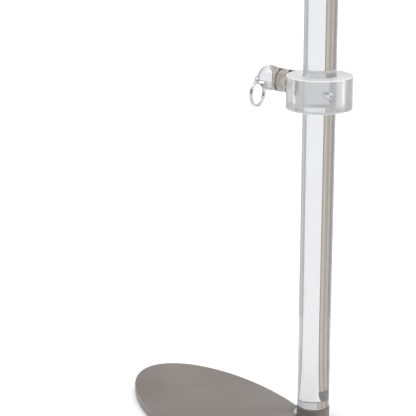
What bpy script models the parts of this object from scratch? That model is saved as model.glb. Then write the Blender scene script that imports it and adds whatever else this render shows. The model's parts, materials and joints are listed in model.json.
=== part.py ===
"""Display stand for an alto saxophone.

An oval steel plate carries a clear acrylic post on a small round ear. A thick
acrylic collar slides and turns on the post and is held by a grub screw. A clear
arm leaves the collar, and a split ring hangs from the screw eye in its round nose.

Metres, +Z up. The origin is the middle of the stand's outline on the surface
that it stands on.
"""

import math

import bmesh
import bpy
from mathutils import Vector

MM = 0.001
UP = Vector((0.0, 0.0, 1.0))

# Gaps
GAP = 0.3 * MM  # between pieces that touch

# Base plate: an oval with a round ear, cut from one sheet
OVAL_HALF_LENGTH = 160.0 * MM
OVAL_HALF_WIDTH = 75.0 * MM
OVAL_TURN = math.radians(122.0)  # from +X to the long axis
PLATE_THICKNESS = 10.0 * MM
PLATE_EDGE_ROUND = 1.0 * MM
POST_IN_PLATE = Vector((-54.0 * MM, -78.5 * MM))  # in the oval's own axes
EAR_RADIUS = 18.0 * MM
EAR_FILLET = 8.0 * MM
OVAL_SEGMENTS = 72
EAR_SEGMENTS = 16
FILLET_SEGMENTS = 4

# Seat milled into the plate for the post's foot
SEAT_RADIUS = 19.0 * MM
SEAT_DEPTH = 2.0 * MM
SEAT_CHAMFER_WIDTH = 2.0 * MM
SEAT_CHAMFER_DEPTH = 1.0 * MM

# Rubber pads
PAD_COUNT = 6
PAD_RADIUS = 8.0 * MM
PAD_HEIGHT = 2.0 * MM
PAD_RING = (125.0 * MM, 55.0 * MM)  # half-axes of the oval that the pads lie on

# Post and its foot
POST_RADIUS = 17.5 * MM
POST_LENGTH = 525.0 * MM
POST_CHAMFER = 0.8 * MM
FOOT_RADIUS = 18.0 * MM
FOOT_RISE = 8.5 * MM  # above the plate
FOOT_SKIN = 2.0 * MM  # left over the blind hole

# Bolt from below, M8 countersunk
BOLT_RADIUS = 4.0 * MM
BOLT_HEAD_RADIUS = 7.6 * MM
BOLT_RECESS = 0.3 * MM
BOLT_HEAD_RIM = 0.3 * MM  # straight edge of the countersunk head
BOLT_SOCKET_ACROSS_FLATS = 5.0 * MM
BOLT_SOCKET_DEPTH = 2.5 * MM

# Collar
COLLAR_RADIUS = 35.0 * MM
COLLAR_HEIGHT = 35.0 * MM
COLLAR_BOTTOM = 356.3 * MM  # above the surface that the stand is on
COLLAR_CHAMFER = 0.8 * MM

# Clamp: grub screw M6, threaded insert and nylon pad, on one radial line
CLAMP_AZIMUTH = math.radians(-73.0)
CLAMP_ABOVE_COLLAR_MIDDLE = 1.5 * MM
CLAMP_RADIUS = 3.0 * MM
CLAMP_SCREW_LENGTH = 11.0 * MM
CLAMP_PAD_LENGTH = 3.6 * MM
CLAMP_SOCKET_ACROSS_FLATS = 3.0 * MM
CLAMP_SOCKET_DEPTH = 3.0 * MM
INSERT_RADIUS = 4.0 * MM
INSERT_FROM = 23.0 * MM  # from the post's axis
INSERT_TO = 34.4 * MM

# Arm, along a level radial line; distances run from the post's axis
ARM_AZIMUTH = math.radians(135.0)
ARM_RADIUS = 12.5 * MM  # its top is level with the collar's
NOSE_RADIUS = 13.8 * MM  # the arm ends in a ball a little thicker than the bar
NOSE_MIDDLE = 69.7 * MM

# Spigot turned on the arm's inner end and cemented into a blind hole in the collar
SPIGOT_RADIUS = 8.0 * MM
SPIGOT_FROM = 24.0 * MM
SPIGOT_CHAMFER = 0.6 * MM

# Screw eye, set low in the arm's nose
EYE_WIRE_RADIUS = 0.85 * MM
EYE_HOLE_RADIUS = 2.85 * MM
EYE_BELOW_ARM_AXIS = 5.2 * MM
EYE_NECK_LENGTH = 0.35 * MM  # from the arm's tip to the loop
EYE_SHANK_RADIUS = 2.0 * MM
EYE_SHANK_FROM = 75.0 * MM
EYE_SHANK_TO = 81.4 * MM

# Split ring: two turns of flat wire with one step between them
RING_OUTER_RADIUS = 15.0 * MM
RING_BAND_WIDTH = 2.5 * MM  # along the radius
RING_TURN_THICKNESS = 1.6 * MM
RING_YAW = math.radians(13.0)  # from the arm's direction
RING_STEP_ANGLE = math.radians(22.0)
RING_END_GAP = math.radians(1.5)
RING_START = math.radians(305.0)
RING_BAND_LOW = 1.8 * MM  # lowest edge of the band below the eye's middle
RING_SEGMENTS = 56  # in one turn

ROUND_SEGMENTS = 64
POST_SEGMENTS = 72
SMALL_SEGMENTS = 28

# Heights and places that follow from the sizes above
PLATE_BOTTOM = PAD_HEIGHT + GAP
PLATE_TOP = PLATE_BOTTOM + PLATE_THICKNESS
SEAT_FLOOR = PLATE_TOP - SEAT_DEPTH
FOOT_BOTTOM = SEAT_FLOOR + GAP
FOOT_TOP = PLATE_TOP + FOOT_RISE
POST_BOTTOM = FOOT_TOP + GAP
COLLAR_MIDDLE = COLLAR_BOTTOM + COLLAR_HEIGHT / 2
ARM_ABOVE_COLLAR_MIDDLE = COLLAR_HEIGHT / 2 - ARM_RADIUS
ARM_TIP = NOSE_MIDDLE + NOSE_RADIUS
EYE_ABOVE_COLLAR_MIDDLE = ARM_ABOVE_COLLAR_MIDDLE - EYE_BELOW_ARM_AXIS
EYE_MAJOR_RADIUS = EYE_HOLE_RADIUS + EYE_WIRE_RADIUS
EYE_FROM_POST = ARM_TIP + EYE_NECK_LENGTH + EYE_MAJOR_RADIUS + EYE_WIRE_RADIUS
RING_INNER_RADIUS = RING_OUTER_RADIUS - RING_BAND_WIDTH
RING_DROP = RING_INNER_RADIUS + RING_BAND_LOW  # ring's centre below the eye's


def turned_xy(vector, angle):
    """A plane vector turned about +Z."""
    c = math.cos(angle)
    s = math.sin(angle)
    return Vector((vector.x * c - vector.y * s, vector.x * s + vector.y * c))


def level(azimuth):
    """The level unit vector at an azimuth."""
    return Vector((math.cos(azimuth), math.sin(azimuth), 0.0))


def oval_reach():
    """Half the oval's extent along X and along Y."""
    long_x = OVAL_HALF_LENGTH * math.cos(OVAL_TURN)
    long_y = OVAL_HALF_LENGTH * math.sin(OVAL_TURN)
    short_x = OVAL_HALF_WIDTH * math.sin(OVAL_TURN)
    short_y = OVAL_HALF_WIDTH * math.cos(OVAL_TURN)
    return math.hypot(long_x, short_x), math.hypot(long_y, short_y)


def oval_centre():
    """The oval's centre, placed so that the whole outline is centred on the origin."""
    reach_x, _ = oval_reach()
    post_x = turned_xy(POST_IN_PLATE, OVAL_TURN).x
    return Vector(((reach_x - post_x - COLLAR_RADIUS) / 2, 0.0))


OVAL_CENTRE = oval_centre()
POST_XY = OVAL_CENTRE + turned_xy(POST_IN_PLATE, OVAL_TURN)


# Scene, materials and objects


def clear_scene():
    for thing in list(bpy.data.objects):
        bpy.data.objects.remove(thing, do_unlink=True)


def new_material(name, colour, roughness, metallic=0.0, transmission=0.0):
    mat = bpy.data.materials.new(name)
    mat.use_nodes = True
    shader = mat.node_tree.nodes["Principled BSDF"]
    shader.inputs["Base Color"].default_value = (*colour, 1.0)
    shader.inputs["Roughness"].default_value = roughness
    shader.inputs["Metallic"].default_value = metallic
    shader.inputs["Transmission Weight"].default_value = transmission
    shader.inputs["IOR"].default_value = 1.49
    return mat


def new_empty(name, location, parent=None):
    empty = bpy.data.objects.new(name, None)
    bpy.context.collection.objects.link(empty)
    empty.parent = parent
    empty.location = location
    return empty


def new_object(name, bm, mat, parent=None, location=(0, 0, 0), direction=UP):
    """Makes a mesh object whose local +Z points along direction."""
    bmesh.ops.recalc_face_normals(bm, faces=bm.faces)
    mesh = bpy.data.meshes.new(name)
    bm.to_mesh(mesh)
    bm.free()
    mesh.shade_smooth()
    mesh.set_sharp_from_angle(angle=math.radians(32.0))
    thing = bpy.data.objects.new(name, mesh)
    bpy.context.collection.objects.link(thing)
    if mat:
        mesh.materials.append(mat)
    thing.parent = parent
    thing.location = location
    thing.rotation_euler = direction.to_track_quat("Z", "Y").to_euler()
    return thing


def boolean(target, tool, operation="DIFFERENCE"):
    """Cuts or joins with a tool object, which stays hidden."""
    tool.hide_render = True
    tool.display_type = "WIRE"
    modifier = target.modifiers.new(tool.name, "BOOLEAN")
    modifier.operation = operation
    modifier.solver = "EXACT"
    modifier.object = tool


# Mesh makers


def lathe(profile, segments, closed=False):
    """Spins (radius, height) points about +Z. An open profile starts and ends on the axis."""
    bm = bmesh.new()
    verts = [bm.verts.new((radius, 0.0, height)) for radius, height in profile]
    edges = [bm.edges.new(pair) for pair in zip(verts, verts[1:])]
    if closed:
        edges.append(bm.edges.new((verts[-1], verts[0])))
    bmesh.ops.spin(
        bm,
        geom=verts + edges,
        cent=(0, 0, 0),
        axis=(0, 0, 1),
        angle=2 * math.pi,
        steps=segments,
        use_merge=True,
    )
    bmesh.ops.remove_doubles(bm, verts=bm.verts, dist=0.001 * MM)
    return bm


def prism(outline, low, high):
    """A flat outline pulled up from low to high."""
    bm = bmesh.new()
    face = bm.faces.new([bm.verts.new((x, y, low)) for x, y in outline])
    pulled = bmesh.ops.extrude_face_region(bm, geom=[face])
    risen = [item for item in pulled["geom"] if isinstance(item, bmesh.types.BMVert)]
    bmesh.ops.translate(bm, verts=risen, vec=(0, 0, high - low))
    return bm


def hexagon(across_flats):
    corner = across_flats / math.sqrt(3)
    angles = [math.radians(60 * side) for side in range(6)]
    return [(corner * math.cos(a), corner * math.sin(a)) for a in angles]


def arc(centre, radius, start, end, segments):
    """Points of an arc, both ends included."""
    angles = [start + (end - start) * i / segments for i in range(segments + 1)]
    return [centre + radius * Vector((math.cos(a), math.sin(a))) for a in angles]


# Base plate outline, in the oval's own axes


def oval_point(t):
    return Vector((OVAL_HALF_LENGTH * math.cos(t), OVAL_HALF_WIDTH * math.sin(t)))


def nearest_on_oval(point):
    """Parameter of the oval's point that is nearest to a point outside it."""
    guess = math.atan2(point.y / OVAL_HALF_WIDTH, point.x / OVAL_HALF_LENGTH)
    low = guess - 0.5
    high = guess + 0.5
    for _ in range(60):
        third = (high - low) / 3
        if (oval_point(low + third) - point).length < (oval_point(high - third) - point).length:
            high -= third
        else:
            low += third
    return (low + high) / 2


def fillet_centre(away, towards):
    """Centre of the fillet between ear and oval, searched by angle about the post."""
    for _ in range(60):
        angle = (away + towards) / 2
        reach = EAR_RADIUS + EAR_FILLET
        centre = POST_IN_PLATE + reach * Vector((math.cos(angle), math.sin(angle)))
        gap = (oval_point(nearest_on_oval(centre)) - centre).length - EAR_FILLET
        if gap > 0:
            away = angle
        else:
            towards = angle
    return centre


def angle_of(vector):
    return math.atan2(vector.y, vector.x)


def unwound(angle, after):
    """The same angle, in the full turn that follows another."""
    return after + (angle - after) % (2 * math.pi)


def plate_outline():
    """Oval, fillet, ear and fillet, counterclockwise."""
    right = fillet_centre(-math.pi / 2, math.pi / 2)
    left = fillet_centre(3 * math.pi / 2, math.pi / 2)
    t_right = nearest_on_oval(right)
    t_left = unwound(nearest_on_oval(left), t_right)
    steps = [t_right + (t_left - t_right) * i / OVAL_SEGMENTS for i in range(OVAL_SEGMENTS + 1)]
    oval = [oval_point(t) for t in steps]

    left_end = angle_of(POST_IN_PLATE - left)
    left_start = unwound(angle_of(oval[-1] - left), left_end)
    left_fillet = arc(left, EAR_FILLET, left_start, left_end, FILLET_SEGMENTS)

    ear_start = angle_of(left - POST_IN_PLATE)
    ear_end = unwound(angle_of(right - POST_IN_PLATE), ear_start)
    ear = arc(POST_IN_PLATE, EAR_RADIUS, ear_start, ear_end, EAR_SEGMENTS)

    right_end = angle_of(oval[0] - right)
    right_start = unwound(angle_of(POST_IN_PLATE - right), right_end)
    right_fillet = arc(right, EAR_FILLET, right_start, right_end, FILLET_SEGMENTS)
    return oval + left_fillet[1:-1] + ear + right_fillet[1:-1]


# The pieces


def make_base_plate(mat):
    location = (*OVAL_CENTRE, 0.0)
    plate = new_object("base_plate", prism(plate_outline(), PLATE_BOTTOM, PLATE_TOP), mat)
    plate.location = location
    plate.rotation_euler.z = OVAL_TURN
    bevel = plate.modifiers.new("edge_round", "BEVEL")
    bevel.width = PLATE_EDGE_ROUND
    bevel.segments = 2
    bevel.limit_method = "ANGLE"
    bevel.angle_limit = math.radians(60.0)

    above = SEAT_CHAMFER_DEPTH
    seat_profile = [
        (0.0, SEAT_FLOOR),
        (SEAT_RADIUS, SEAT_FLOOR),
        (SEAT_RADIUS, PLATE_TOP - SEAT_CHAMFER_DEPTH),
        (SEAT_RADIUS + 2 * SEAT_CHAMFER_WIDTH, PLATE_TOP + above),
        (0.0, PLATE_TOP + above),
    ]
    seat = new_object("seat_cutter", lathe(seat_profile, POST_SEGMENTS), None, location=(*POST_XY, 0.0))
    boolean(plate, seat)

    hole_radius = BOLT_RADIUS + GAP
    head_radius = BOLT_HEAD_RADIUS + GAP
    head_straight = PLATE_BOTTOM + BOLT_RECESS + BOLT_HEAD_RIM
    hole_profile = [
        (0.0, PLATE_TOP),
        (hole_radius, PLATE_TOP),
        (hole_radius, head_straight + head_radius - hole_radius),
        (head_radius, head_straight),
        (head_radius, PLATE_BOTTOM - 1.0 * MM),
        (0.0, PLATE_BOTTOM - 1.0 * MM),
    ]
    shape = lathe(hole_profile, SMALL_SEGMENTS)
    boolean(plate, new_object("bolt_hole_cutter", shape, None, location=(*POST_XY, 0.0)))


def make_base_pads(mat):
    lip = 0.4 * MM
    profile = [
        (0.0, PAD_HEIGHT),
        (PAD_RADIUS - lip, PAD_HEIGHT),
        (PAD_RADIUS, PAD_HEIGHT - lip),
        (PAD_RADIUS, lip),
        (PAD_RADIUS - lip, 0.0),
        (0.0, 0.0),
    ]
    for number in range(PAD_COUNT):
        angle = math.radians(30.0) + 2 * math.pi * number / PAD_COUNT
        in_plate = Vector((PAD_RING[0] * math.cos(angle), PAD_RING[1] * math.sin(angle)))
        place = OVAL_CENTRE + turned_xy(in_plate, OVAL_TURN)
        new_object(f"base_pad_{number + 1}", lathe(profile, SMALL_SEGMENTS), mat, location=(*place, 0.0))


def make_post_bolt(mat, post_axis):
    head_low = PLATE_BOTTOM + BOLT_RECESS
    end = FOOT_TOP - FOOT_SKIN - GAP
    point = 0.8 * MM
    profile = [
        (0.0, end),
        (BOLT_RADIUS - point, end),
        (BOLT_RADIUS, end - point),
        (BOLT_RADIUS, head_low + BOLT_HEAD_RIM + BOLT_HEAD_RADIUS - BOLT_RADIUS),
        (BOLT_HEAD_RADIUS, head_low + BOLT_HEAD_RIM),
        (BOLT_HEAD_RADIUS, head_low),
        (0.0, head_low),
    ]
    bolt = new_object("post_bolt", lathe(profile, SMALL_SEGMENTS), mat, post_axis)
    outline = hexagon(BOLT_SOCKET_ACROSS_FLATS)
    shape = prism(outline, head_low - 1.0 * MM, head_low + BOLT_SOCKET_DEPTH)
    boolean(bolt, new_object("bolt_socket_cutter", shape, None, post_axis))


def make_post_foot(mat, post_axis):
    edge = 0.4 * MM
    hole_radius = BOLT_RADIUS + GAP
    profile = [
        (0.0, FOOT_TOP - FOOT_SKIN),
        (hole_radius, FOOT_TOP - FOOT_SKIN),
        (hole_radius, FOOT_BOTTOM),
        (FOOT_RADIUS - edge, FOOT_BOTTOM),
        (FOOT_RADIUS, FOOT_BOTTOM + edge),
        (FOOT_RADIUS, FOOT_TOP - edge),
        (FOOT_RADIUS - edge, FOOT_TOP),
        (0.0, FOOT_TOP),
    ]
    new_object("post_foot", lathe(profile, POST_SEGMENTS), mat, post_axis)


def make_post(mat, post_axis):
    top = POST_BOTTOM + POST_LENGTH
    inner = POST_RADIUS - POST_CHAMFER
    profile = [
        (0.0, top),
        (inner, top),
        (POST_RADIUS, top - POST_CHAMFER),
        (POST_RADIUS, POST_BOTTOM + POST_CHAMFER),
        (inner, POST_BOTTOM),
        (0.0, POST_BOTTOM),
    ]
    new_object("post", lathe(profile, POST_SEGMENTS), mat, post_axis)


def make_collar(mat, carriage):
    """The carriage's origin is at the collar's middle, on the post's axis."""
    half = COLLAR_HEIGHT / 2
    edge = COLLAR_CHAMFER
    bore = POST_RADIUS + GAP
    bore_edge = edge / 2
    profile = [
        (bore + bore_edge, half),
        (COLLAR_RADIUS - edge, half),
        (COLLAR_RADIUS, half - edge),
        (COLLAR_RADIUS, edge - half),
        (COLLAR_RADIUS - edge, -half),
        (bore + bore_edge, -half),
        (bore, bore_edge - half),
        (bore, half - bore_edge),
    ]
    collar = new_object("collar", lathe(profile, POST_SEGMENTS, closed=True), mat, carriage)

    inside = 10.0 * MM
    outside = COLLAR_RADIUS + 2.0 * MM
    clamp_hole = [
        (0.0, outside),
        (INSERT_RADIUS + GAP, outside),
        (INSERT_RADIUS + GAP, INSERT_FROM - GAP),
        (CLAMP_RADIUS + GAP, INSERT_FROM - GAP),
        (CLAMP_RADIUS + GAP, inside),
        (0.0, inside),
    ]
    shape = lathe(clamp_hole, SMALL_SEGMENTS)
    place = (0.0, 0.0, CLAMP_ABOVE_COLLAR_MIDDLE)
    clamp_cutter = new_object("clamp_hole_cutter", shape, None, carriage, place, level(CLAMP_AZIMUTH))
    boolean(collar, clamp_cutter)

    hole_radius = SPIGOT_RADIUS + GAP
    hole_floor = SPIGOT_FROM - GAP
    spigot_hole = [
        (0.0, outside),
        (hole_radius, outside),
        (hole_radius, hole_floor),
        (0.0, hole_floor),
    ]
    shape = lathe(spigot_hole, SMALL_SEGMENTS)
    place = (0.0, 0.0, ARM_ABOVE_COLLAR_MIDDLE)
    spigot_cutter = new_object("spigot_hole_cutter", shape, None, carriage, place, level(ARM_AZIMUTH))
    boolean(collar, spigot_cutter)


def make_clamp(insert_mat, screw_mat, pad_mat, carriage):
    outward = level(CLAMP_AZIMUTH)
    middle = CLAMP_ABOVE_COLLAR_MIDDLE * UP
    insert_profile = [
        (CLAMP_RADIUS + GAP, INSERT_TO),
        (INSERT_RADIUS, INSERT_TO),
        (INSERT_RADIUS, INSERT_FROM),
        (CLAMP_RADIUS + GAP, INSERT_FROM),
    ]
    shape = lathe(insert_profile, SMALL_SEGMENTS, closed=True)
    new_object("collar_insert", shape, insert_mat, carriage, middle, outward)

    pad_from = POST_RADIUS + 0.4 * MM
    edge = 0.4 * MM
    pad_profile = [
        (0.0, CLAMP_PAD_LENGTH),
        (CLAMP_RADIUS, CLAMP_PAD_LENGTH),
        (CLAMP_RADIUS, edge),
        (CLAMP_RADIUS - edge, 0.0),
        (0.0, 0.0),
    ]
    shape = lathe(pad_profile, SMALL_SEGMENTS)
    new_object("clamp_pad", shape, pad_mat, carriage, middle + pad_from * outward, outward)

    screw_from = pad_from + CLAMP_PAD_LENGTH + GAP
    point = 0.7 * MM
    screw_profile = [
        (0.0, CLAMP_SCREW_LENGTH),
        (CLAMP_RADIUS - edge, CLAMP_SCREW_LENGTH),
        (CLAMP_RADIUS, CLAMP_SCREW_LENGTH - edge),
        (CLAMP_RADIUS, point),
        (CLAMP_RADIUS - point, 0.0),
        (0.0, 0.0),
    ]
    place = middle + screw_from * outward
    shape = lathe(screw_profile, SMALL_SEGMENTS)
    screw = new_object("clamp_screw", shape, screw_mat, carriage, place, outward)
    socket_floor = CLAMP_SCREW_LENGTH - CLAMP_SOCKET_DEPTH
    shape = prism(hexagon(CLAMP_SOCKET_ACROSS_FLATS), socket_floor, CLAMP_SCREW_LENGTH + 1.0 * MM)
    boolean(screw, new_object("clamp_socket_cutter", shape, None, carriage, place, outward))


def nose_profile():
    """The ball nose, from where it meets the bar to just before its tip."""
    join = -math.acos(ARM_RADIUS / NOSE_RADIUS)
    angles = [join * (4 - step) / 4 for step in range(4)]
    angles += [math.pi / 2 * step / 12 for step in range(12)]
    return [(NOSE_RADIUS * math.cos(a), NOSE_MIDDLE + NOSE_RADIUS * math.sin(a)) for a in angles]


def make_arm(mat, carriage):
    """A round bar whose inner end is hollowed to fit round the collar, with a spigot in the middle."""
    inside_collar = 30.0 * MM
    bar = [
        (0.0, inside_collar),
        (ARM_RADIUS, inside_collar),
        *nose_profile(),
        (0.0, ARM_TIP),
    ]
    place = (0.0, 0.0, ARM_ABOVE_COLLAR_MIDDLE)
    outward = level(ARM_AZIMUTH)
    arm = new_object("arm", lathe(bar, POST_SEGMENTS), mat, carriage, place, outward)

    hole_radius = EYE_SHANK_RADIUS + GAP
    hole_floor = EYE_SHANK_FROM - 1.0 * MM
    beyond_tip = ARM_TIP + 2.0 * MM
    eye_hole = [
        (0.0, beyond_tip),
        (hole_radius, beyond_tip),
        (hole_radius, hole_floor),
        (0.0, hole_floor),
    ]
    eye_place = (0.0, 0.0, EYE_ABOVE_COLLAR_MIDDLE)
    shape = lathe(eye_hole, SMALL_SEGMENTS)
    boolean(arm, new_object("eye_hole_cutter", shape, None, carriage, eye_place, outward))

    saddle_radius = COLLAR_RADIUS + GAP
    saddle = [
        (0.0, COLLAR_HEIGHT),
        (saddle_radius, COLLAR_HEIGHT),
        (saddle_radius, -COLLAR_HEIGHT),
        (0.0, -COLLAR_HEIGHT),
    ]
    boolean(arm, new_object("saddle_cutter", lathe(saddle, POST_SEGMENTS), None, carriage))

    spigot_end = (COLLAR_RADIUS + NOSE_MIDDLE) / 2
    spigot = [
        (0.0, spigot_end),
        (SPIGOT_RADIUS, spigot_end),
        (SPIGOT_RADIUS, SPIGOT_FROM + SPIGOT_CHAMFER),
        (SPIGOT_RADIUS - SPIGOT_CHAMFER, SPIGOT_FROM),
        (0.0, SPIGOT_FROM),
    ]
    tool = new_object("spigot_tool", lathe(spigot, SMALL_SEGMENTS), None, carriage, place, outward)
    boolean(arm, tool, "UNION")


def make_arm_eye(mat, carriage):
    """A wire ring that stands in the arm's upright plane, with its shank in the arm."""
    outward = level(ARM_AZIMUTH)
    hole_axis = level(ARM_AZIMUTH - math.pi / 2)
    middle = EYE_FROM_POST * outward + EYE_ABOVE_COLLAR_MIDDLE * UP
    sides = 16
    angles = [2 * math.pi * side / sides for side in range(sides)]
    wire = [
        (EYE_MAJOR_RADIUS + EYE_WIRE_RADIUS * math.cos(a), EYE_WIRE_RADIUS * math.sin(a))
        for a in angles
    ]
    eye = new_object("arm_eye", lathe(wire, 40, closed=True), mat, carriage, middle, hole_axis)

    ring_middle = EYE_FROM_POST - EYE_MAJOR_RADIUS
    neck = 1.1 * EYE_WIRE_RADIUS
    point = 0.8 * MM
    shank = [
        (0.0, ring_middle),
        (neck, ring_middle),
        (neck, EYE_SHANK_TO),
        (EYE_SHANK_RADIUS, EYE_SHANK_TO - point),
        (EYE_SHANK_RADIUS, EYE_SHANK_FROM + point),
        (EYE_SHANK_RADIUS - point, EYE_SHANK_FROM),
        (0.0, EYE_SHANK_FROM),
    ]
    place = (0.0, 0.0, EYE_ABOVE_COLLAR_MIDDLE)
    tool = new_object("eye_shank_tool", lathe(shank, 24), None, carriage, place, outward)
    boolean(eye, tool, "UNION")


def ring_offset(along):
    """How far a point of the split ring's wire is from its middle plane."""
    side = (RING_TURN_THICKNESS + GAP) / 2
    into_step = (along - 2 * math.pi + RING_STEP_ANGLE) / RING_STEP_ANGLE
    into_step = min(max(into_step, 0.0), 1.0)
    rise = into_step * into_step * (3 - 2 * into_step)
    return side * (2 * rise - 1)


def split_ring():
    """Two turns of flat wire about +Z, with its centre below the local origin along -Y."""
    bm = bmesh.new()
    half = RING_TURN_THICKNESS / 2
    whole = 4 * math.pi - RING_STEP_ANGLE - RING_END_GAP
    count = round(RING_SEGMENTS * whole / (2 * math.pi))
    sections = []
    for i in range(count + 1):
        along = whole * i / count
        angle = RING_START + along
        offset = ring_offset(along)
        section = []
        for radius, z in (
            (RING_INNER_RADIUS, offset - half),
            (RING_OUTER_RADIUS, offset - half),
            (RING_OUTER_RADIUS, offset + half),
            (RING_INNER_RADIUS, offset + half),
        ):
            x = radius * math.cos(angle)
            y = radius * math.sin(angle) - RING_DROP
            section.append(bm.verts.new((x, y, z)))
        sections.append(section)
    for one, two in zip(sections, sections[1:]):
        for side in range(4):
            after = (side + 1) % 4
            bm.faces.new((one[side], one[after], two[after], two[side]))
    bm.faces.new(sections[0])
    bm.faces.new(sections[-1])
    return bm


def make_link_ring(mat, carriage):
    """Hangs in an upright plane that faces the arm's direction, turned a little."""
    facing = level(ARM_AZIMUTH + RING_YAW)
    middle = EYE_FROM_POST * level(ARM_AZIMUTH) + EYE_ABOVE_COLLAR_MIDDLE * UP
    new_object("link_ring", split_ring(), mat, carriage, middle, facing)


def main():
    clear_scene()
    painted = new_material("painted_steel", (0.235, 0.212, 0.200), 0.45)
    rubber = new_material("rubber", (0.03, 0.03, 0.03), 0.8)
    clear = new_material("clear_acrylic", (0.95, 0.96, 0.97), 0.03, transmission=1.0)
    frosted = new_material("frosted_acrylic", (0.78, 0.80, 0.83), 0.4, transmission=0.6)
    nickel = new_material("nickel", (0.75, 0.74, 0.72), 0.15, metallic=1.0)
    zinc = new_material("zinc_steel", (0.55, 0.55, 0.56), 0.3, metallic=1.0)
    insert_steel = new_material("insert_steel", (0.62, 0.61, 0.58), 0.3, metallic=1.0)
    nylon = new_material("nylon", (0.80, 0.79, 0.74), 0.5)

    post_axis = new_empty("post_axis", (*POST_XY, 0.0))
    carriage = new_empty("carriage", (0.0, 0.0, COLLAR_MIDDLE), post_axis)

    make_base_plate(painted)
    make_base_pads(rubber)
    make_post_bolt(zinc, post_axis)
    make_post_foot(painted, post_axis)
    make_post(clear, post_axis)
    make_collar(frosted, carriage)
    make_clamp(insert_steel, zinc, nylon, carriage)
    make_arm(clear, carriage)
    make_arm_eye(nickel, carriage)
    make_link_ring(nickel, carriage)


main()
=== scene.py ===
"""The looks of an acrylic saxophone stand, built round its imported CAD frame.

Every visible piece is rebuilt finer than its CAD node, in the same place and at
the same size, and rides on the same body. Metres, +Z up.
"""

import json
import math

import bmesh
import bpy
from mathutils import Matrix, Vector

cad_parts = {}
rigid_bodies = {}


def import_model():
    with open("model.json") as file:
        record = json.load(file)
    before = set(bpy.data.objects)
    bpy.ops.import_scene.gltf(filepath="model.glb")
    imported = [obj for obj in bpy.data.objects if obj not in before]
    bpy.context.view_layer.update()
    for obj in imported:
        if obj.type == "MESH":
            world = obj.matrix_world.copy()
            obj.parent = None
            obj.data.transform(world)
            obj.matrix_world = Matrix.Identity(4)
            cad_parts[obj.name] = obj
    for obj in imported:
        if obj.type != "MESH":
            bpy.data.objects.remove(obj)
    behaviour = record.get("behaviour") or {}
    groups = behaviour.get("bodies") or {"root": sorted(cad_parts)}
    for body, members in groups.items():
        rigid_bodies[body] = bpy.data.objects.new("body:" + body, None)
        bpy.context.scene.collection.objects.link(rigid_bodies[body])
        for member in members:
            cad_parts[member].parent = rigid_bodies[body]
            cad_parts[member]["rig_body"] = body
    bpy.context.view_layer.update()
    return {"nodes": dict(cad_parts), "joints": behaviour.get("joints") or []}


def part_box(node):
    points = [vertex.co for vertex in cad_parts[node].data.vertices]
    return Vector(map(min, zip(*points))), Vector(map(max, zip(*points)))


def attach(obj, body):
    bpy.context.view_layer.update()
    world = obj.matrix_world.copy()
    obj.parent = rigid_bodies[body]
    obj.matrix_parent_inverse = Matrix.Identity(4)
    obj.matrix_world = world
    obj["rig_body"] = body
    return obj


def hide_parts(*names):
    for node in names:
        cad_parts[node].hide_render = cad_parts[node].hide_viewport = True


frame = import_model()

MM = 0.001
UP = Vector((0.0, 0.0, 1.0))
TURN = 2 * math.pi

# Plate outline
OVAL_HALF_LENGTH = 160.0 * MM
OVAL_HALF_WIDTH = 75.0 * MM
OVAL_TURN = math.radians(122.0)
EAR_RADIUS = 18.0 * MM
EAR_FILLET = 8.0 * MM
PLATE_EDGE_ROUND = 1.0 * MM
SEAT_RADIUS = 19.0 * MM
SEAT_DEPTH = 2.0 * MM
SEAT_CHAMFER = (2.0 * MM, 1.0 * MM)  # width and depth

# Acrylic
CHAMFER = 0.8 * MM  # of the rod and the collar
BORE_RADIUS = 17.8 * MM
ARM_RADIUS = 12.5 * MM
SPIGOT_RADIUS = 8.0 * MM
SADDLE_GAP = 0.3 * MM
HOLE_GAP = 0.3 * MM

# Metal
BOLT_RADIUS = 4.0 * MM
BOLT_SOCKET = (5.0 * MM, 2.5 * MM)  # across flats and depth
SCREW_SOCKET = (3.0 * MM, 3.0 * MM)
EYE_WIRE_RADIUS = 0.85 * MM
EYE_SHANK_RADIUS = 2.0 * MM
EYE_SHANK_TO = 81.4 * MM  # from the post's axis
RING_BAND_WIDTH = 2.5 * MM
RING_TURN_THICKNESS = 1.6 * MM
RING_TURN_GAP = 0.3 * MM
RING_EDGE_ROUND = 0.45 * MM
RING_START = math.radians(305.0)
RING_STEP_ANGLE = math.radians(22.0)
RING_END_GAP = math.radians(1.5)
RING_END_ROUND = 0.2 * MM

# Threads: pitch and depth
BOLT_THREAD = (1.25 * MM, 0.6 * MM)
SLEEVE_THREAD = (0.8 * MM, 0.35 * MM)
SCREW_THREAD = (1.0 * MM, 0.5 * MM)
EYE_THREAD = (0.7 * MM, 0.35 * MM)

# Fineness
LARGE_SEGMENTS = 256
SMALL_SEGMENTS = 64
THREAD_SEGMENTS = 40
OVAL_STEPS = 240
NOSE_STEPS = 60
RING_STEPS = 300
SEARCH_STEPS = 60
CARD_STEP = 4.0  # degrees

# Upright part of a face's normal: a flat end is above the first, a chamfer between the two
FLAT = 0.9
SLOPED = 0.5

# Camera, from the plate's top at the post's axis
CAMERA_FROM_POST = Vector((-0.1164, -1.5688, 0.6849))
CAMERA_PITCH = math.radians(-16.0)
CAMERA_LENS = 132.4  # on a 36 mm sensor

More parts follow.
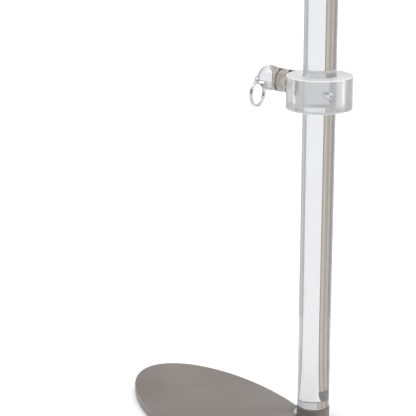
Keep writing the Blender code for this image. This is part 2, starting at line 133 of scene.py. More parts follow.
# Glowing cards round the post, hidden from the camera, that paint reflected streaks into the acrylic:
# azimuths from and to, and colour. The rod bends what is beside and behind it, so that each card
# shows as an upright painted streak. Each has a flat card before it, because low in the rod the eye
# looks down at the floor.
CARD_DISTANCE = 0.32
CARD_HEIGHT = 0.75
CARDS = [
    (96.0, 99.0, (0.45, 0.39, 0.32)),
    (99.0, 105.5, (0.68, 0.64, 0.60)),
    (105.5, 114.0, (0.56, 0.46, 0.33)),
    (114.0, 124.0, (0.62, 0.60, 0.57)),
    (124.0, 140.0, (0.36, 0.33, 0.30)),
    (140.0, 190.0, (0.52, 0.49, 0.47)),
    (40.0, 52.0, (0.62, 0.62, 0.68)),
    (28.0, 40.0, (0.80, 0.80, 0.82)),
    (-20.0, 28.0, (0.62, 0.62, 0.64)),
]

# A dark one, flat and close to the foot, seen through the lowest part of the rod: painted shade
FOOT_CARD = (94.0, 190.0, (0.25, 0.235, 0.225))
FOOT_CARD_REACH = 0.062


# Places read from the frame


def middle(node):
    low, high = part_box(node)
    return (low + high) / 2


def extent(node):
    low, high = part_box(node)
    return high - low


JOINTS = {joint["name"]: joint for joint in frame["joints"]}
POST_MIDDLE = middle("post")
POST_XY = Vector((POST_MIDDLE.x, POST_MIDDLE.y, 0.0))
POST_RADIUS = extent("post").x / 2
POST_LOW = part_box("post")[0].z
POST_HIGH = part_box("post")[1].z
FOOT_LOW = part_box("post_foot")[0].z
FOOT_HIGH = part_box("post_foot")[1].z
FOOT_RADIUS = extent("post_foot").x / 2
PLATE_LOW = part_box("base_plate")[0].z
PLATE_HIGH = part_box("base_plate")[1].z
COLLAR_RADIUS = extent("collar").x / 2
COLLAR_HEIGHT = extent("collar").z
COLLAR_MIDDLE = Vector((POST_XY.x, POST_XY.y, middle("collar").z))
EYE_MIDDLE = Vector(JOINTS["ring_swing"]["pos_m"])
EYE_RADIUS = extent("arm_eye").z / 2 - EYE_WIRE_RADIUS
EYE_BASE = Vector((POST_XY.x, POST_XY.y, EYE_MIDDLE.z))
ARM_BASE = Vector((POST_XY.x, POST_XY.y, middle("arm").z))
ARM_OUT = (EYE_MIDDLE - EYE_BASE).normalized()
NOSE_RADIUS = extent("arm").z / 2
RING_SWING_AXIS = Vector(JOINTS["ring_swing"]["axis"])
RING_FACING = UP.cross(RING_SWING_AXIS)
RING_OUTER_RADIUS = extent("link_ring").z / 2
RING_MIDDLE = Vector((EYE_MIDDLE.x, EYE_MIDDLE.y, middle("link_ring").z))
CLAMP_OUT = Vector(JOINTS["clamp_screw_turn"]["axis"])
CLAMP_BASE = Vector(JOINTS["clamp_screw_turn"]["pos_m"])


def span_along(node, origin, direction):
    """Nearest and farthest reach of a CAD node's points along a direction."""
    points = [vertex.co for vertex in frame["nodes"][node].data.vertices]
    reaches = [(point - origin).dot(direction) for point in points]
    return min(reaches), max(reaches)


# Objects and meshes


def new_object(name, bm, materials, location=(0, 0, 0), direction=UP, sharp=32.0):
    """A mesh object whose local +Z points along direction."""
    bmesh.ops.recalc_face_normals(bm, faces=bm.faces)
    mesh = bpy.data.meshes.new(name)
    bm.to_mesh(mesh)
    bm.free()
    mesh.shade_smooth()
    mesh.set_sharp_from_angle(angle=math.radians(sharp))
    for mat in materials:
        mesh.materials.append(mat)
    thing = bpy.data.objects.new(name, mesh)
    bpy.context.collection.objects.link(thing)
    thing.location = location
    if direction != UP:
        thing.rotation_euler = direction.to_track_quat("Z", "Y").to_euler()
    return thing


def settle(thing, sharp=32.0):
    """Applies a thing's modifiers to its mesh."""
    bpy.context.view_layer.update()
    depsgraph = bpy.context.evaluated_depsgraph_get()
    mesh = bpy.data.meshes.new_from_object(thing.evaluated_get(depsgraph))
    thing.modifiers.clear()
    thing.data = mesh
    mesh.shade_smooth()
    mesh.set_sharp_from_angle(angle=math.radians(sharp))


def carve(thing, tool, operation="DIFFERENCE", sharp=32.0):
    """Cuts or joins with a tool, which is then thrown away."""
    modifier = thing.modifiers.new(tool.name, "BOOLEAN")
    modifier.operation = operation
    modifier.solver = "EXACT"
    modifier.object = tool
    settle(thing, sharp)
    bpy.data.objects.remove(tool, do_unlink=True)


def stand_for(thing, node):
    """The thing is shown in place of a CAD node and moves with that node's body."""
    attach(thing, frame["nodes"][node]["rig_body"])
    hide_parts(node)


def skin(rows, closed_rows=False):
    """A surface through rings of points. Rings are closed; a ring of one point is a tip."""
    bm = bmesh.new()
    made = [[bm.verts.new(point) for point in row] for row in rows]
    pairs = list(zip(made, made[1:]))
    if closed_rows:
        pairs.append((made[-1], made[0]))
    for one, two in pairs:
        count = max(len(one), len(two))
        for i in range(count):
            j = (i + 1) % count
            corners = [one[i % len(one)], one[j % len(one)], two[j % len(two)], two[i % len(two)]]
            bm.faces.new(list(dict.fromkeys(corners)))
    return bm


def circle(radius, height, segments):
    if radius == 0.0:
        return [(0.0, 0.0, height)]
    angles = [TURN * i / segments for i in range(segments)]
    return [(radius * math.cos(a), radius * math.sin(a), height) for a in angles]


def lathe(profile, segments, closed=False):
    """Spins (radius, height) points about +Z."""
    return skin([circle(r, z, segments) for r, z in profile], closed)


def rounded(corners, radius, steps=4):
    """An open outline with its inner corners rounded; each corner is (x, y)."""
    points = [Vector(corner) for corner in corners]
    result = [tuple(points[0])]
    for before, corner, after in zip(points, points[1:], points[2:]):
        back = (before - corner).normalized()
        ahead = (after - corner).normalized()
        half = back.angle(ahead) / 2
        reach = radius / math.tan(half)
        start = corner + back * reach
        end = corner + ahead * reach
        centre = corner + (back + ahead).normalized() * (radius / math.sin(half))
        one = math.atan2(start.y - centre.y, start.x - centre.x)
        two = math.atan2(end.y - centre.y, end.x - centre.x)
        sweep = (two - one + math.pi) % TURN - math.pi
        for step in range(steps + 1):
            angle = one + sweep * step / steps
            result.append((centre.x + radius * math.cos(angle), centre.y + radius * math.sin(angle)))
    result.append(tuple(points[-1]))
    return result


def prism(outline, low, high):
    bm = bmesh.new()
    face = bm.faces.new([bm.verts.new((x, y, low)) for x, y in outline])
    pulled = bmesh.ops.extrude_face_region(bm, geom=[face])
    risen = [item for item in pulled["geom"] if isinstance(item, bmesh.types.BMVert)]
    bmesh.ops.translate(bm, verts=risen, vec=(0, 0, high - low))
    return bm


def hexagon(across_flats):
    corner = across_flats / math.sqrt(3)
    return [(corner * math.cos(a), corner * math.sin(a)) for a in (math.pi / 3 * i for i in range(6))]


def thread_rows(radius, thread, low, high):
    """Rings of a screw thread from low to high; it fades out over one pitch at both ends."""
    pitch, depth = thread
    rows = []
    steps = round((high - low) / pitch * 6)
    for step in range(steps + 1):
        height = low + (high - low) * step / steps
        fade = min(1.0, (height - low) / pitch, (high - height) / pitch)
        row = []
        for i in range(THREAD_SEGMENTS):
            turn = i / THREAD_SEGMENTS
            phase = (height / pitch - turn) % 1.0
            groove = 1.0 - abs(2.0 * phase - 1.0)
            r = radius - depth * groove * fade
            row.append((r * math.cos(TURN * turn), r * math.sin(TURN * turn), height))
        rows.append(row)
    return rows


# Materials


class Finish:
    """A node material under construction."""

    def __init__(self, name, colour, roughness, **sockets):
        self.material = bpy.data.materials.new(name)
        self.material.use_nodes = True
        self.nodes = self.material.node_tree.nodes
        self.links = self.material.node_tree.links
        self.shader = self.nodes["Principled BSDF"]
        self.shader.inputs["Base Color"].default_value = (*colour, 1.0)
        self.shader.inputs["Roughness"].default_value = roughness
        for socket, value in sockets.items():
            self.shader.inputs[socket.replace("_", " ")].default_value = value
        self.place = self.nodes.new("ShaderNodeTexCoord").outputs["Object"]
        self.normal = None

    def stretched(self, scale):
        """The piece's own coordinates, scaled by axis."""
        mapping = self.nodes.new("ShaderNodeMapping")
        mapping.inputs["Scale"].default_value = scale
        self.links.new(self.place, mapping.inputs["Vector"])
        return mapping.outputs["Vector"]

    def noise(self, scale, detail=4.0, stretch=(1, 1, 1)):
        texture = self.nodes.new("ShaderNodeTexNoise")
        texture.inputs["Scale"].default_value = scale
        texture.inputs["Detail"].default_value = detail
        self.links.new(self.stretched(stretch), texture.inputs["Vector"])
        return texture.outputs["Fac"]

    def ranged(self, value, low, high, from_low=0.3, from_high=0.7):
        ranger = self.nodes.new("ShaderNodeMapRange")
        ranger.inputs["From Min"].default_value = from_low
        ranger.inputs["From Max"].default_value = from_high
        ranger.inputs["To Min"].default_value = low
        ranger.inputs["To Max"].default_value = high
        self.links.new(value, ranger.inputs["Value"])
        return ranger.outputs["Result"]

    def rough(self, value, low, high):
        self.links.new(self.ranged(value, low, high), self.shader.inputs["Roughness"])

    def tint(self, value, one, two):
        mix = self.nodes.new("ShaderNodeMix")
        mix.data_type = "RGBA"
        mix.inputs["A"].default_value = (*one, 1.0)
        mix.inputs["B"].default_value = (*two, 1.0)
        self.links.new(self.ranged(value, 0.0, 1.0), mix.inputs["Factor"])
        self.links.new(mix.outputs["Result"], self.shader.inputs["Base Color"])

    def bump(self, value, strength, distance):
        node = self.nodes.new("ShaderNodeBump")
        node.inputs["Strength"].default_value = strength
        node.inputs["Distance"].default_value = distance
        self.links.new(value, node.inputs["Height"])
        if self.normal:
            self.links.new(self.normal, node.inputs["Normal"])
        self.normal = node.outputs["Normal"]
        self.links.new(self.normal, self.shader.inputs["Normal"])

    def tool_marks(self, kind, scale, distortion):
        wave = self.nodes.new("ShaderNodeTexWave")
        wave.wave_type = kind
        wave.rings_direction = "Z"
        wave.bands_direction = "Z"
        wave.inputs["Scale"].default_value = scale
        wave.inputs["Distortion"].default_value = distortion
        wave.inputs["Detail"].default_value = 3.0
        self.links.new(self.place, wave.inputs["Vector"])
        return wave.outputs["Fac"]

    def rings(self, scale):
        """Tool marks round the piece's own Z axis."""
        return self.tool_marks("RINGS", scale, 0.6)

    def bands(self, scale):
        """Tool marks across the piece's own Z axis."""
        return self.tool_marks("BANDS", scale, 0.4)


def powder_coat():
    finish = Finish("powder_coat", (0.2, 0.18, 0.17), 0.45, Specular_IOR_Level=0.5)
    finish.tint(finish.noise(14.0), (0.185, 0.166, 0.157), (0.212, 0.190, 0.180))
    finish.rough(finish.noise(40.0, 6.0), 0.38, 0.50)
    finish.bump(finish.noise(1400.0, 2.0), 0.25, 0.00008)
    finish.bump(finish.noise(260.0, 3.0), 0.10, 0.0002)
    return finish.material


def turned_steel():
    finish = Finish("turned_steel", (0.74, 0.72, 0.69), 0.24, Metallic=1.0)
    finish.rough(finish.noise(300.0), 0.18, 0.32)
    finish.bump(finish.rings(900.0), 0.35, 0.00005)
    return finish.material


def clear_acrylic(name, lengthwise):
    """Cast bar, polished: very faint draw lines along it. Its grey tint is painted shade that dims what is
    seen through it.
    """
    finish = Finish(name, (0.70, 0.705, 0.715), 0.01, IOR=1.491, Transmission_Weight=1.0)
    finish.rough(finish.noise(30.0, 6.0, (1, 1, 0.3)), 0.0, 0.02)
    finish.bump(finish.noise(60.0, 2.0, lengthwise), 0.04, 0.0002)
    return finish.material


def satin_acrylic():
    """Lathe-turned surface, left satin."""
    finish = Finish("satin_acrylic", (0.955, 0.965, 0.98), 0.15, IOR=1.491, Transmission_Weight=0.8)
    finish.rough(finish.bands(500.0), 0.12, 0.18)
    finish.tint(finish.noise(12.0, 2.0), (0.945, 0.955, 0.975), (0.965, 0.975, 0.985))
    finish.bump(finish.bands(620.0), 0.10, 0.00004)
    return finish.material


def satin_acrylic_end():
    finish = Finish("satin_acrylic_end", (0.97, 0.975, 0.985), 0.3, IOR=1.491, Transmission_Weight=0.5)
    finish.rough(finish.rings(500.0), 0.24, 0.34)
    finish.bump(finish.rings(620.0), 0.12, 0.00004)
    return finish.material


def painted_edge_highlight():
    """A chamfer made pale and dull: a painted highlight for the bright line along the edge."""
    finish = Finish("painted_edge_highlight", (0.97, 0.975, 0.98), 0.5, IOR=1.491, Transmission_Weight=0.2)
    finish.rough(finish.noise(300.0), 0.4, 0.6)
    return finish.material


def nickel_plate():
    finish = Finish("nickel_plate", (0.80, 0.79, 0.775), 0.12, Metallic=1.0)
    finish.rough(finish.noise(250.0, 6.0), 0.07, 0.20)
    finish.bump(finish.noise(900.0, 3.0), 0.06, 0.00005)
    return finish.material


def zinc_plate():
    finish = Finish("zinc_plate", (0.80, 0.81, 0.83), 0.34, Metallic=1.0)
    finish.rough(finish.noise(400.0, 5.0), 0.22, 0.42)
    finish.bump(finish.noise(1200.0, 3.0), 0.15, 0.00005)
    return finish.material


def rubber():
    finish = Finish("rubber", (0.022, 0.022, 0.023), 0.8)
    finish.rough(finish.noise(120.0, 5.0), 0.7, 0.9)
    finish.bump(finish.noise(1500.0, 3.0), 0.4, 0.0001)
    return finish.material


def nylon():
    finish = Finish("nylon", (0.78, 0.77, 0.72), 0.5, Subsurface_Weight=0.2, Subsurface_Scale=0.002)
    finish.rough(finish.noise(300.0, 4.0), 0.4, 0.6)
    finish.bump(finish.bands(900.0), 0.1, 0.00005)
    return finish.material


# Plate and its fittings


def oval_point(t):
    return Vector((OVAL_HALF_LENGTH * math.cos(t), OVAL_HALF_WIDTH * math.sin(t)))


def nearest_on_oval(point):
    guess = math.atan2(point.y / OVAL_HALF_WIDTH, point.x / OVAL_HALF_LENGTH)
    low = guess - 0.5
    high = guess + 0.5
    for _ in range(SEARCH_STEPS):
        third = (high - low) / 3
        if (oval_point(low + third) - point).length < (oval_point(high - third) - point).length:
            high -= third
        else:
            low += third
    return (low + high) / 2


def fillet_centre(ear, away, towards):
    """Centre of the fillet between ear and oval, searched by angle about the ear's middle."""
    for _ in range(SEARCH_STEPS):
        angle = (away + towards) / 2
        centre = ear + (EAR_RADIUS + EAR_FILLET) * Vector((math.cos(angle), math.sin(angle)))
        gap = (oval_point(nearest_on_oval(centre)) - centre).length - EAR_FILLET
        if gap > 0:
            away = angle
        else:
            towards = angle
    return centre


def arc_between(centre, start, end, anticlockwise, steps):
    """Inner points of an arc about centre from the start point to the end point."""
    one = math.atan2(start.y - centre.y, start.x - centre.x)
    two = math.atan2(end.y - centre.y, end.x - centre.x)
    sweep = (two - one) % TURN
    if not anticlockwise:
        sweep -= TURN
    radius = (start - centre).length
    angles = [one + sweep * i / steps for i in range(1, steps)]
    return [centre + radius * Vector((math.cos(a), math.sin(a))) for a in angles]


def plate_outline(ear):
    """Oval with a round ear, anticlockwise, in the oval's own axes."""
    right = fillet_centre(ear, -math.pi / 2, math.pi / 2)
    left = fillet_centre(ear, 3 * math.pi / 2, math.pi / 2)
    first = nearest_on_oval(right)
    last = first + (nearest_on_oval(left) - first) % TURN
    oval = [oval_point(first + (last - first) * i / OVAL_STEPS) for i in range(OVAL_STEPS + 1)]
    touch_left = ear + (left - ear).normalized() * EAR_RADIUS
    touch_right = ear + (right - ear).normalized() * EAR_RADIUS
    outline = list(oval)
    outline += arc_between(left, oval[-1], touch_left, False, 10) + [touch_left]
    outline += arc_between(ear, touch_left, touch_right, True, 48) + [touch_right]
    outline += arc_between(right, touch_right, oval[0], False, 10)
    return outline


def make_plate():
    """The plate's own axes are the world's, with the post's axis in the middle."""
    reach_x = math.hypot(OVAL_HALF_LENGTH * math.cos(OVAL_TURN), OVAL_HALF_WIDTH * math.sin(OVAL_TURN))
    low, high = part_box("base_plate")
    centre = Vector((low.x + reach_x, (low.y + high.y) / 2)) - POST_XY.to_2d()
    out_of_oval = Matrix.Rotation(OVAL_TURN, 2)
    ear = out_of_oval.inverted() @ -centre
    outline = [centre + out_of_oval @ point for point in plate_outline(ear)]
    bare = turned_steel()
    plate = new_object("oval_plate", prism(outline, PLATE_LOW, PLATE_HIGH), [powder_coat(), bare], POST_XY)
    bevel = plate.modifiers.new("edge_round", "BEVEL")
    bevel.width = PLATE_EDGE_ROUND
    bevel.segments = 5
    bevel.limit_method = "ANGLE"
    bevel.angle_limit = math.radians(60.0)
    settle(plate)

    width, depth = SEAT_CHAMFER
    seat = lathe(
        [
            (0.0, PLATE_HIGH - SEAT_DEPTH),
            (SEAT_RADIUS, PLATE_HIGH - SEAT_DEPTH),
            (SEAT_RADIUS, PLATE_HIGH - depth),
            (SEAT_RADIUS + 2 * width, PLATE_HIGH + depth),
            (0.0, PLATE_HIGH + depth),
        ],
        128,
    )
    carve(plate, new_object("seat", seat, [bare], POST_XY))

    head_low, head_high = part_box("post_bolt")
    head_radius = (head_high.x - head_low.x) / 2 + HOLE_GAP
    hole_radius = BOLT_RADIUS + HOLE_GAP
    straight = head_low.z + HOLE_GAP
    hole = lathe(
        [
            (0.0, PLATE_HIGH),
            (hole_radius, PLATE_HIGH),
            (hole_radius, straight + head_radius - hole_radius),
            (head_radius, straight),
            (head_radius, PLATE_LOW - MM),
            (0.0, PLATE_LOW - MM),
        ],
        SMALL_SEGMENTS,
    )
    carve(plate, new_object("bolt_hole", hole, [bare], POST_XY))
    for face in plate.data.polygons:
        face.material_index = int(is_machined(face))
    stand_for(plate, "base_plate")


def is_machined(face):
    """The seat and the bolt hole are bare metal; the ear's outer wall keeps its paint."""
    tiny = 0.05 * MM
    outward = face.center.to_2d()
    within = outward.length < SEAT_RADIUS + SEAT_CHAMFER[0]
    between = PLATE_LOW + tiny < face.center.z < PLATE_HIGH - tiny
    faces_out = face.normal.to_2d().dot(outward) > 0 and face.normal.z < FLAT
    return within and between and not faces_out


def make_rubber_pads():
    """Each has a shallow recess in its underside."""
    mat = rubber()
    recess = 0.3 * MM
    for number in range(1, 7):
        node = f"base_pad_{number}"
        low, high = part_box(node)
        radius = (high.x - low.x) / 2
        height = high.z - low.z
        corners = [(0.0, height), (radius, height), (radius, 0.0), (radius * 0.55, 0.0)]
        corners += [(radius * 0.5, recess), (0.0, recess)]
        shape = lathe(rounded(corners, 0.2 * MM), SMALL_SEGMENTS)
        place = (middle(node).x, middle(node).y, low.z)
        pad = new_object(f"rubber_pad_{number}", shape, [mat], place)
        stand_for(pad, node)


def make_post_bolt():
    low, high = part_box("post_bolt")
    head = (high.x - low.x) / 2
    rim = 0.3 * MM
    neck = low.z + rim + head - BOLT_RADIUS
    tip = 0.8 * MM
    profile = [(0.0, low.z), (head - 0.1 * MM, low.z), (head, low.z + 0.1 * MM), (head, low.z + rim)]
    rows = [circle(radius, height, THREAD_SEGMENTS) for radius, height in profile]
    rows += thread_rows(BOLT_RADIUS, BOLT_THREAD, neck, high.z - tip)
    rows += [circle(radius, high.z, THREAD_SEGMENTS) for radius in (BOLT_RADIUS - tip, 0.0)]
    bolt = new_object("countersunk_bolt", skin(rows), [zinc_plate()], POST_XY)
    across, depth = BOLT_SOCKET
    socket = prism(hexagon(across), low.z - MM, low.z + depth)
    carve(bolt, new_object("bolt_socket", socket, [], POST_XY))
    stand_for(bolt, "post_bolt")


# Post


def make_foot():
    hole = BOLT_RADIUS + HOLE_GAP
    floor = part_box("post_bolt")[1].z + HOLE_GAP
    profile = [(0.0, floor), (hole, floor), (hole, FOOT_LOW)]
    corners = [(hole + MM, FOOT_LOW), (FOOT_RADIUS, FOOT_LOW)]
    corners += [(FOOT_RADIUS, FOOT_HIGH), (FOOT_RADIUS - 2 * MM, FOOT_HIGH)]
    profile += rounded(corners, 0.4 * MM)
    profile += [(0.0, FOOT_HIGH)]
    foot = new_object("foot_disc", lathe(profile, 160), [powder_coat()], POST_XY)
    stand_for(foot, "post_foot")


def make_rod():
    """The rod is held to the foot at its rim; its bottom face is clear and mirrors what is behind it."""
    inner = POST_RADIUS - CHAMFER
    profile = [
        (0.0, POST_HIGH),
        (inner, POST_HIGH),
        (POST_RADIUS, POST_HIGH - CHAMFER),
        (POST_RADIUS, POST_LOW + CHAMFER),
        (inner, POST_LOW),
        (0.0, POST_LOW),
    ]
    mats = [clear_acrylic("rod_acrylic", (8, 8, 0.1)), painted_edge_highlight()]
    rod = new_object("post_rod", lathe(profile, LARGE_SEGMENTS), mats, POST_XY)
    # The chamfers take the painted edge highlight.
    for face in rod.data.polygons:
        face.material_index = int(SLOPED < abs(face.normal.z) < FLAT)
    stand_for(rod, "post")


# Collar and clamp


def make_collar():
    half = COLLAR_HEIGHT / 2
    profile = [
        (BORE_RADIUS + CHAMFER / 2, half),
        (COLLAR_RADIUS - CHAMFER, half),
        (COLLAR_RADIUS, half - CHAMFER),
        (COLLAR_RADIUS, CHAMFER - half),
        (COLLAR_RADIUS - CHAMFER, -half),
        (BORE_RADIUS + CHAMFER / 2, -half),
        (BORE_RADIUS, CHAMFER / 2 - half),
        (BORE_RADIUS, half - CHAMFER / 2),
    ]
    mats = [satin_acrylic(), satin_acrylic_end(), clear_acrylic("bore_acrylic", (1, 1, 1)), painted_edge_highlight()]
    collar = new_object("collar_ring", lathe(profile, LARGE_SEGMENTS, closed=True), mats, COLLAR_MIDDLE)

    sleeve_from, _ = span_along("collar_insert", CLAMP_BASE, CLAMP_OUT)
    sleeve = extent("collar_insert").z / 2 + HOLE_GAP
    screw = extent("clamp_screw").z / 2 + HOLE_GAP
    outside = COLLAR_RADIUS + 2 * MM
    inside = BORE_RADIUS - 5 * MM
    floor = sleeve_from - HOLE_GAP
    steps = [(0.0, outside), (sleeve, outside), (sleeve, floor)]
    steps += [(screw, floor), (screw, inside), (0.0, inside)]
    hole = lathe(steps, SMALL_SEGMENTS)
    carve(collar, new_object("clamp_hole", hole, mats, CLAMP_BASE, CLAMP_OUT))

    floor = span_along("arm", ARM_BASE, ARM_OUT)[0] - HOLE_GAP
    socket = SPIGOT_RADIUS + HOLE_GAP
    hole = lathe([(0.0, outside), (socket, outside), (socket, floor), (0.0, floor)], 96)
    carve(collar, new_object("spigot_hole", hole, mats, ARM_BASE, ARM_OUT))

    for face in collar.data.polygons:
        from_axis = face.center.to_2d().length
        if abs(face.normal.z) > FLAT:
            face.material_index = 1
        elif from_axis < COLLAR_RADIUS - 2 * MM:
            face.material_index = 2
        # The chamfers take the painted edge highlight.
        elif abs(face.normal.z) > SLOPED:
            face.material_index = 3
        else:
            face.material_index = 0
    stand_for(collar, "collar")


def make_clamp():
    low, high = span_along("collar_insert", CLAMP_BASE, CLAMP_OUT)
    outer = extent("collar_insert").z / 2
    inner = extent("clamp_screw").z / 2 + HOLE_GAP
    ends = [inner, outer - 0.2 * MM]
    rows = [circle(radius, high, THREAD_SEGMENTS) for radius in ends]
    rows += thread_rows(outer, SLEEVE_THREAD, low + 0.3 * MM, high - 0.3 * MM)[::-1]
    rows += [circle(radius, low, THREAD_SEGMENTS) for radius in reversed(ends)]
    sleeve = new_object("threaded_sleeve", skin(rows, True), [zinc_plate()], CLAMP_BASE, CLAMP_OUT)
    stand_for(sleeve, "collar_insert")

    low, high = span_along("clamp_screw", CLAMP_BASE, CLAMP_OUT)
    radius = extent("clamp_screw").z / 2
    tip = 0.6 * MM
    rows = [circle(0.0, low, THREAD_SEGMENTS), circle(radius - tip, low, THREAD_SEGMENTS)]
    rows += thread_rows(radius, SCREW_THREAD, low + tip, high - 0.3 * MM)
    rows += [circle(radius - 0.4 * MM, high, THREAD_SEGMENTS), circle(0.0, high, THREAD_SEGMENTS)]
    screw = new_object("grub_screw", skin(rows), [zinc_plate()], CLAMP_BASE, CLAMP_OUT)
    across, depth = SCREW_SOCKET
    socket = prism(hexagon(across), high - depth, high + MM)
    carve(screw, new_object("screw_socket", socket, [], CLAMP_BASE, CLAMP_OUT))
    stand_for(screw, "clamp_screw")

    low, high = span_along("clamp_pad", CLAMP_BASE, CLAMP_OUT)
    radius = extent("clamp_pad").z / 2
    corners = [(radius * 0.5, high), (radius, high), (radius, low), (radius * 0.5, low)]
    profile = [(0.0, high)] + rounded(corners, 0.35 * MM) + [(0.0, low)]
    pad = new_object("nylon_pad", lathe(profile, SMALL_SEGMENTS), [nylon()], CLAMP_BASE, CLAMP_OUT)
    stand_for(pad, "clamp_pad")


# Arm, eye and ring


def saddle_reach(radius, angle):
    """How far out the collar's surface is, at a place on the arm's end."""
    sideways = radius * math.sin(angle)
    return math.sqrt((COLLAR_RADIUS + SADDLE_GAP) ** 2 - sideways**2)


def make_arm():
    """Local +Z runs out along the arm and local +Y is level, across it."""
    root, tip = span_along("arm", ARM_BASE, ARM_OUT)
    angles = [TURN * i / LARGE_SEGMENTS for i in range(LARGE_SEGMENTS)]

    def saddle_ring(radius):
        return [(radius * math.cos(a), radius * math.sin(a), saddle_reach(radius, a)) for a in angles]

    edge = 0.6 * MM
    between = (SPIGOT_RADIUS + ARM_RADIUS) / 2
    rows = [circle(radius, root, LARGE_SEGMENTS) for radius in (0.0, SPIGOT_RADIUS - edge)]
    rows += [circle(SPIGOT_RADIUS, root + edge, LARGE_SEGMENTS)]
    rows += [saddle_ring(radius) for radius in (SPIGOT_RADIUS, between, ARM_RADIUS)]
    join = -math.acos(ARM_RADIUS / NOSE_RADIUS)
    for step in range(NOSE_STEPS):
        angle = join + (math.pi / 2 - join) * step / NOSE_STEPS
        height = tip - NOSE_RADIUS * (1 - math.sin(angle))
        rows += [circle(NOSE_RADIUS * math.cos(angle), height, LARGE_SEGMENTS)]
    rows += [circle(0.0, tip, LARGE_SEGMENTS)]
    arm = new_object("arm_bar", skin(rows), [clear_acrylic("arm_acrylic", (8, 8, 0.3))], ARM_BASE, ARM_OUT)
    across = UP.cross(ARM_OUT)
    arm.rotation_euler = Matrix((across.cross(ARM_OUT), across, ARM_OUT)).transposed().to_euler()

    radius = EYE_SHANK_RADIUS + HOLE_GAP
    floor = span_along("arm_eye", EYE_BASE, ARM_OUT)[0] - MM
    beyond = tip + 2 * MM
    hole = lathe([(0.0, beyond), (radius, beyond), (radius, floor), (0.0, floor)], SMALL_SEGMENTS)
    carve(arm, new_object("eye_hole", hole, [], EYE_BASE, ARM_OUT), sharp=40.0)
    stand_for(arm, "arm")


def make_eye():
    """A loop of wire in the arm's upright plane, on a threaded shank."""
    hole_axis = ARM_OUT.cross(UP)
    sides = 24
    angles = [TURN * i / sides for i in range(sides)]
    wire = [(EYE_RADIUS + EYE_WIRE_RADIUS * math.cos(a), EYE_WIRE_RADIUS * math.sin(a)) for a in angles]
    eye = new_object("eye_loop", lathe(wire, 96, closed=True), [nickel_plate()], EYE_MIDDLE, hole_axis)
    low, high = span_along("arm_eye", EYE_BASE, ARM_OUT)
    neck = 1.1 * EYE_WIRE_RADIUS
    into_loop = high - EYE_WIRE_RADIUS - 2 * EYE_RADIUS
    point = 0.8 * MM
    rows = [circle(radius, low, THREAD_SEGMENTS) for radius in (0.0, EYE_SHANK_RADIUS - point)]
    rows += thread_rows(EYE_SHANK_RADIUS, EYE_THREAD, low + point, EYE_SHANK_TO - point)
    profile = [(neck, EYE_SHANK_TO), (neck, into_loop), (0.0, into_loop)]
    rows += [circle(radius, height, THREAD_SEGMENTS) for radius, height in profile]
    carve(eye, new_object("eye_shank", skin(rows), [], EYE_BASE, ARM_OUT), "UNION")
    stand_for(eye, "arm_eye")


def ring_offset(along):
    """How far the ring's wire is from its middle plane; it steps across near the end of its first turn."""
    side = (RING_TURN_THICKNESS + RING_TURN_GAP) / 2
    into_step = (along - TURN + RING_STEP_ANGLE) / RING_STEP_ANGLE
    into_step = min(max(into_step, 0.0), 1.0)
    rise = into_step * into_step * (3 - 2 * into_step)
    return side * (2 * rise - 1)


def band_section(shrink=0.0):
    """Outline of the flat wire, about its middle: (across the radius, along the axis)."""
    half_width = RING_BAND_WIDTH / 2 - shrink
    half_thickness = RING_TURN_THICKNESS / 2 - shrink
    corner = RING_EDGE_ROUND - shrink
    points = []
    for quarter, (x, y) in enumerate(((1, 1), (-1, 1), (-1, -1), (1, -1))):
        for step in range(5):
            angle = math.pi / 2 * (quarter + step / 4)
            points.append(
                (
                    x * (half_width - corner) + corner * math.cos(angle),
                    y * (half_thickness - corner) + corner * math.sin(angle),
                )
            )
    return points


def make_link_ring():
    whole = 2 * TURN - RING_STEP_ANGLE - RING_END_GAP
    middle_radius = RING_OUTER_RADIUS - RING_BAND_WIDTH / 2
    end_round = RING_END_ROUND / middle_radius
    stations = [(0.0, RING_END_ROUND), (end_round, 0.0)]
    stations += [(whole * i / RING_STEPS, 0.0) for i in range(1, RING_STEPS)]
    stations += [(whole - end_round, 0.0), (whole, RING_END_ROUND)]
    rows = []
    for along, shrink in stations:
        angle = RING_START + along
        row = []
        for across, over in band_section(shrink):
            radius = middle_radius + across
            row.append((radius * math.cos(angle), radius * math.sin(angle), ring_offset(along) + over))
        rows.append(row)
    bm = skin(rows)
    bm.verts.ensure_lookup_table()
    section = len(rows[0])
    bm.faces.new(bm.verts[:section])
    bm.faces.new(bm.verts[-section:])
    ring = new_object("split_ring", bm, [nickel_plate()], RING_MIDDLE, RING_FACING, sharp=50.0)
    stand_for(ring, "link_ring")


# Studio


def make_floor():
    half = 20.0
    bm = bmesh.new()
    bm.faces.new([bm.verts.new((x * half, y * half, 0.0)) for x, y in ((-1, -1), (1, -1), (1, 1), (-1, 1))])
    finish = Finish("floor_paper", (0.94, 0.94, 0.94), 0.9, Specular_IOR_Level=0.1)
    finish.tint(finish.noise(3.0), (0.935, 0.935, 0.94), (0.945, 0.945, 0.945))
    floor = new_object("floor", bm, [finish.material])


def make_card(name, start, end, colour, low, high):
    """A card that sweeps round the post; low and high are its edges, each (from the axis, height)."""
    bm = bmesh.new()
    steps = max(2, round((end - start) / CARD_STEP))
    for distance, height in (low, high):
        for step in range(steps + 1):
            angle = math.radians(start + (end - start) * step / steps)
            out = distance * Vector((math.cos(angle), math.sin(angle), 0.0))
            bm.verts.new(POST_XY + out + height * UP)
    bm.verts.ensure_lookup_table()
    for step in range(steps):
        near = (bm.verts[step], bm.verts[step + 1])
        far = (bm.verts[steps + 2 + step], bm.verts[steps + 1 + step])
        bm.faces.new(near + far)
    # The card glows with its colour, as a painted reflection; it is not a lamp.
    finish = Finish(name, (0.0, 0.0, 0.0), 1.0, Specular_IOR_Level=0.0, Emission_Strength=1.0)
    finish.shader.inputs["Emission Color"].default_value = (*colour, 1.0)
    card = new_object(name, bm, [finish.material])
    card.visible_camera = False
    card.visible_diffuse = False
    card.visible_shadow = False
    return card


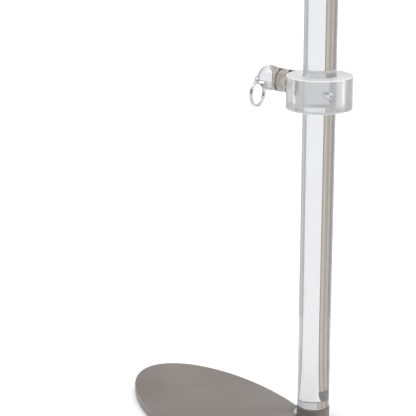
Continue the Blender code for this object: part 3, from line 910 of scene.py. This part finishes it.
def make_cards():
    """Painted reflections: the upright cards show in acrylic and metal; the flat ones only through the
    acrylic.
    """
    above_plate = PLATE_HIGH + MM
    near = (POST_RADIUS + 2 * MM, above_plate)
    corner = (CARD_DISTANCE, above_plate)
    top = (CARD_DISTANCE, CARD_HEIGHT)
    for number, (start, end, colour) in enumerate(CARDS, 1):
        make_card(f"card_{number}", start, end, colour, corner, top)
        flat = make_card(f"card_{number}_flat", start, end, colour, near, corner)
        flat.visible_glossy = False
    # Painted shade, seen only through the lowest part of the rod.
    dark = make_card("card_foot", *FOOT_CARD, near, (FOOT_CARD_REACH, above_plate + MM))
    dark.visible_glossy = False


def make_world():
    """A pale studio lit from above, dimmer over the backdrop, at the sides and behind the camera."""
    world = bpy.data.worlds.new("studio")
    bpy.context.scene.world = world
    world.use_nodes = True
    nodes = world.node_tree.nodes
    links = world.node_tree.links
    background = nodes["Background"]
    way = nodes.new("ShaderNodeTexCoord").outputs["Generated"]
    parts = nodes.new("ShaderNodeSeparateXYZ")
    links.new(way, parts.inputs["Vector"])

    def ramp(value, stops):
        shifted = nodes.new("ShaderNodeMapRange")
        shifted.inputs["From Min"].default_value = -1.0
        links.new(value, shifted.inputs["Value"])
        node = nodes.new("ShaderNodeValToRGB")
        links.new(shifted.outputs["Result"], node.inputs["Fac"])
        while len(node.color_ramp.elements) < len(stops):
            node.color_ramp.elements.new(0.5)
        for element, (position, grey) in zip(node.color_ramp.elements, stops):
            element.position = (position + 1) / 2
            element.color = (grey, grey, grey, 1.0)
        return node.outputs["Color"]

    def multiply(one, two):
        mix = nodes.new("ShaderNodeMix")
        mix.data_type = "RGBA"
        mix.blend_type = "MULTIPLY"
        mix.inputs["Factor"].default_value = 1.0
        links.new(one, mix.inputs["A"])
        links.new(two, mix.inputs["B"])
        return mix.outputs["Result"]

    sideways = ramp(parts.outputs["X"], [(-1.0, 0.5), (-0.5, 0.7), (0.0, 1.0), (0.5, 0.9), (1.0, 0.6)])
    depthways = ramp(parts.outputs["Y"], [(-1.0, 0.35), (-0.4, 0.6), (0.1, 1.0), (1.0, 1.0)])
    upwards = ramp(
        parts.outputs["Z"],
        [(-1.0, 0.55), (0.36, 0.55), (0.5, 0.35), (0.7, 0.4), (0.8, 1.0), (1.0, 1.0)],
    )
    links.new(multiply(multiply(sideways, depthways), upwards), background.inputs["Color"])
    background.inputs["Strength"].default_value = 1.7

    plain = nodes.new("ShaderNodeBackground")
    plain.inputs["Color"].default_value = (1.0, 1.0, 1.0, 1.0)
    choose = nodes.new("ShaderNodeMixShader")
    links.new(nodes.new("ShaderNodeLightPath").outputs["Is Camera Ray"], choose.inputs["Fac"])
    links.new(background.outputs["Background"], choose.inputs[1])
    links.new(plain.outputs["Background"], choose.inputs[2])
    links.new(choose.outputs["Shader"], nodes["World Output"].inputs["Surface"])


def make_lamp(name, direction, strength, softness):
    """A distant soft lamp, so that the floor is evenly lit."""
    light = bpy.data.lights.new(name, "SUN")
    light.energy = strength
    light.angle = math.radians(softness)
    lamp = bpy.data.objects.new(name, light)
    bpy.context.collection.objects.link(lamp)
    lamp.location = POST_XY + UP
    lamp.rotation_euler = (-Vector(direction)).to_track_quat("-Z", "Y").to_euler()


def make_lights():
    make_lamp("key_lamp", (-0.5, -0.45, 1.2), 1.2, 50.0)
    make_lamp("fill_lamp", (0.7, -0.2, 1.0), 0.5, 60.0)


def make_camera():
    lens = bpy.data.cameras.new("camera")
    lens.lens = CAMERA_LENS
    lens.sensor_width = 36.0
    lens.clip_start = 0.05
    lens.clip_end = 100.0
    camera = bpy.data.objects.new("camera", lens)
    bpy.context.collection.objects.link(camera)
    camera.location = Vector((POST_XY.x, POST_XY.y, PLATE_HIGH)) + CAMERA_FROM_POST
    camera.rotation_euler = (math.pi / 2 + CAMERA_PITCH, 0.0, 0.0)
    bpy.context.scene.camera = camera


def main():
    bpy.context.scene.view_settings.view_transform = "Standard"
    make_camera()
    make_world()
    make_lights()
    make_floor()
    make_cards()
    make_plate()
    make_rubber_pads()
    make_post_bolt()
    make_foot()
    make_rod()
    make_collar()
    make_clamp()
    make_arm()
    make_eye()
    make_link_ring()


main()
